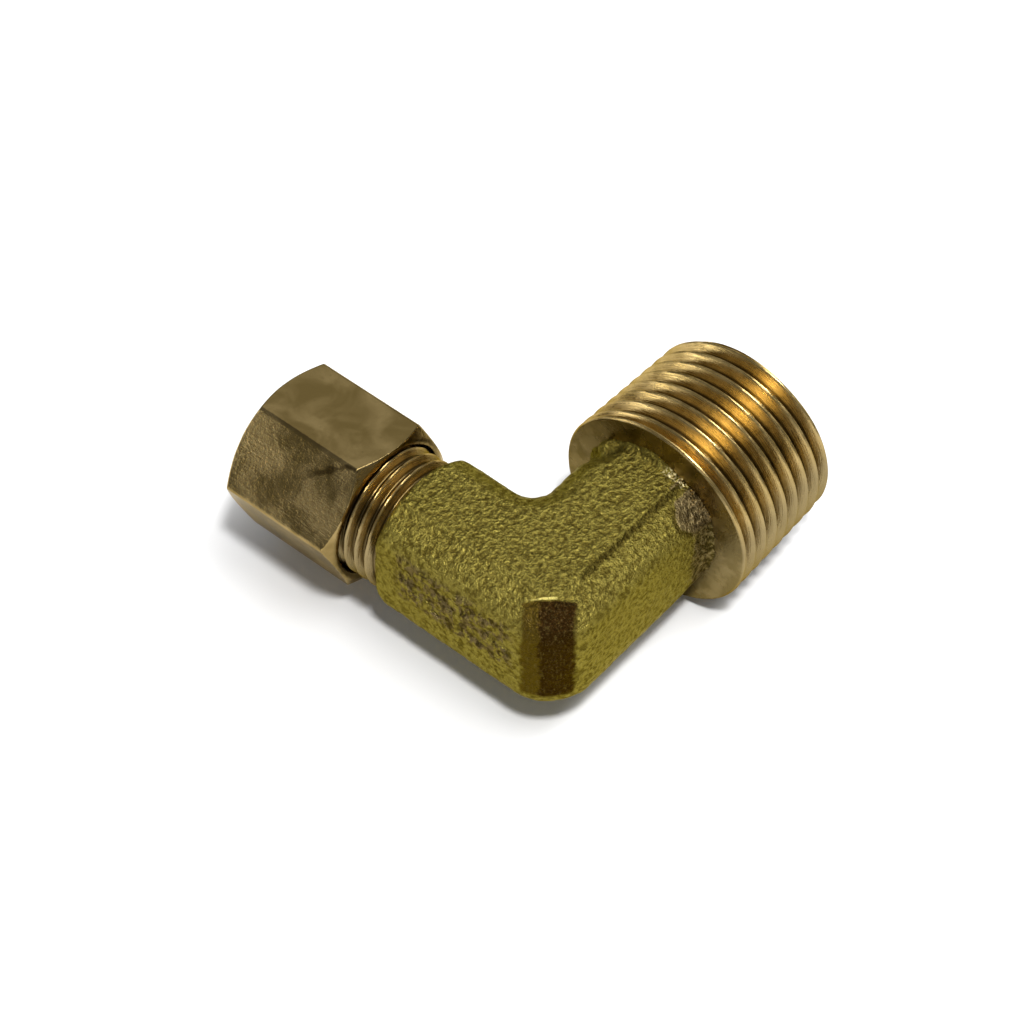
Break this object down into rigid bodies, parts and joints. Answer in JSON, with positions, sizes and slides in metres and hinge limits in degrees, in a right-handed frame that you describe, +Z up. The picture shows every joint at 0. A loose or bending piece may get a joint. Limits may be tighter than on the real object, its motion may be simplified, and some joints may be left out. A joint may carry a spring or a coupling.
{
  "type": "compression fitting",
  "caption": "Forged brass 90 degree male elbow: compression port with sleeve and hex nut for small tube on one arm, male taper pipe thread on the other.",
  "frame": {"origin": "under the middle of the whole fitting's bounding box, on the surface that the pipe thread rests on", "axes": "+X along the pipe port towards its open end, +Y along the tube port towards the nut's outer end, +Z up, square to both port axes"},
  "size_m": [0.0324, 0.036, 0.0177],
  "materials": {
    "forged_brass": "shot-blasted forging, machined threads and faces",
    "sleeve_brass": "fine turned",
    "nut_brass": "drawn hex bar, turned ends"
  },
  "bodies": {
    "fitting": {"elbow_body": "forged_brass"},
    "sleeve": {"sleeve": "sleeve_brass"},
    "nut": {"nut": "nut_brass"}
  },
  "joints": [
    {"name": "nut_travel", "type": "slide", "parent": "fitting", "child": "sleeve", "axis": [0, 1, 0], "range_m": [-0.0012, 0.00371]},
    {"name": "nut_turn", "type": "hinge", "parent": "sleeve", "child": "nut", "pos_m": [-0.009, 0.01248, 0.00885], "axis": [0, 1, 0], "range_deg": [-405, 1260]}
  ],
  "couplings": [
    {"joint": "nut_travel", "follows": "nut_turn", "m_per_rad": 0.00016844}
  ]
}
